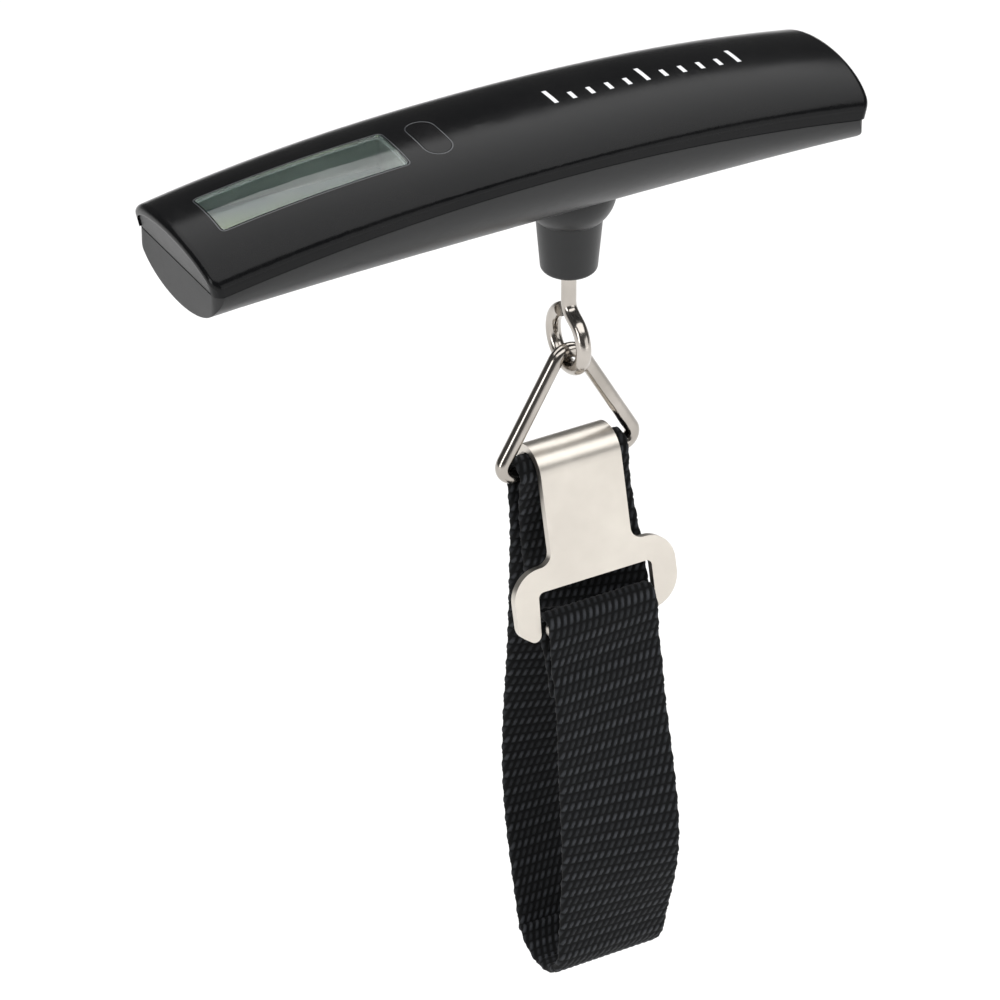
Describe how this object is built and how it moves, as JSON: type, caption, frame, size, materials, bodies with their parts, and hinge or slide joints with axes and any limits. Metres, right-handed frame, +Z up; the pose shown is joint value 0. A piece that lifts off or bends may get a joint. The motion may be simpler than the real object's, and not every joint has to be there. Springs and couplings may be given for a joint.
{
  "type": "digital luggage scale",
  "caption": "T-handled hanging luggage scale: gloss grip with a display and button over a boss, swivelling wire eye, triangular ring, and a webbing strap closed by a flat sheet-steel hook.",
  "frame": {"origin": "in the middle of the hand grip's thickness, on the axis of the wire eye's stem", "axes": "+X along the grip towards its plain end, away from the display; +Y away from the user; +Z up, the load hangs along -Z"},
  "size_m": [0.1424, 0.0395, 0.1933],
  "materials": {
    "cover_black": "high gloss",
    "shell_grey": "satin",
    "button_black": "gloss",
    "lens_clear": "clear acrylic",
    "lcd_greygreen": "glass over a grey-green reflective layer",
    "reflector": "satin film",
    "frame_pale": "moulded",
    "zebra_rubber": "layered conductive rubber",
    "board_green": "solder mask",
    "chip_black": "moulded epoxy",
    "component_tan": "ceramic",
    "can_steel": "tin plated",
    "cell_aluminium": "milled",
    "potting_white": "silicone",
    "screw_steel": "zinc plated",
    "bush_nylon": "natural nylon",
    "lead_red": "PVC insulation",
    "lead_white": "PVC insulation",
    "coin_steel": "nickel plated",
    "contact_steel": "nickel-plated spring steel",
    "wire_polished": "polished",
    "plate_nickel": "satin nickel plate",
    "webbing_black": "coarse woven polypropylene"
  },
  "bodies": {
    "housing": {"upper_cover": "cover_black", "lower_shell": "shell_grey", "window_lens": "lens_clear", "display_frame": "frame_pale", "lcd_glass": "lcd_greygreen", "lcd_reflector": "reflector", "zebra_strips": "zebra_rubber", "circuit_board": "board_green", "controller_chip": "chip_black", "board_components": "component_tan", "crystal": "can_steel", "tact_switch": "chip_black", "load_cell": "cell_aluminium", "strain_gauges": "potting_white", "load_cell_screws": "screw_steel", "case_screws": "screw_steel", "boss_bush": "bush_nylon", "gauge_leads": "lead_white", "battery_leads": "lead_red", "battery_contact_pos": "contact_steel", "battery_contact_neg": "contact_steel"},
    "button": {"power_button": "button_black"},
    "drawer": {"battery_drawer": "shell_grey", "coin_cell": "coin_steel"},
    "eye": {"wire_eye": "wire_polished", "stem_washer": "screw_steel", "stem_nut": "screw_steel"},
    "ring": {"triangle_ring": "wire_polished"},
    "strap": {"strap": "webbing_black"},
    "hook": {"hook_plate": "plate_nickel", "strap_end_loop": "webbing_black"}
  },
  "joints": [
    {"name": "power_button_press", "type": "slide", "parent": "housing", "child": "button", "axis": [0, 0, -1], "range_m": [0, 0.0006], "stiffness_N_per_m": 900},
    {"name": "battery_drawer_slide", "type": "slide", "parent": "housing", "child": "drawer", "axis": [1, 0, 0], "range_m": [0, 0.023]},
    {"name": "eye_swivel", "type": "hinge", "parent": "housing", "child": "eye", "pos_m": [0, 0, -0.03], "axis": [0, 0, 1], "continuous": true},
    {"name": "ring_swing", "type": "hinge", "parent": "eye", "child": "ring", "pos_m": [0, 0, -0.0448], "axis": [1, 0, 0], "range_deg": [-45, 45]},
    {"name": "strap_swing", "type": "hinge", "parent": "ring", "child": "strap", "pos_m": [0, 0, -0.0697], "axis": [1, 0, 0], "range_deg": [-45, 45]},
    {"name": "hook_pivot", "type": "hinge", "parent": "strap", "child": "hook", "pos_m": [0, 0, -0.0697], "axis": [1, 0, 0], "range_deg": [-20, 0]}
  ]
}
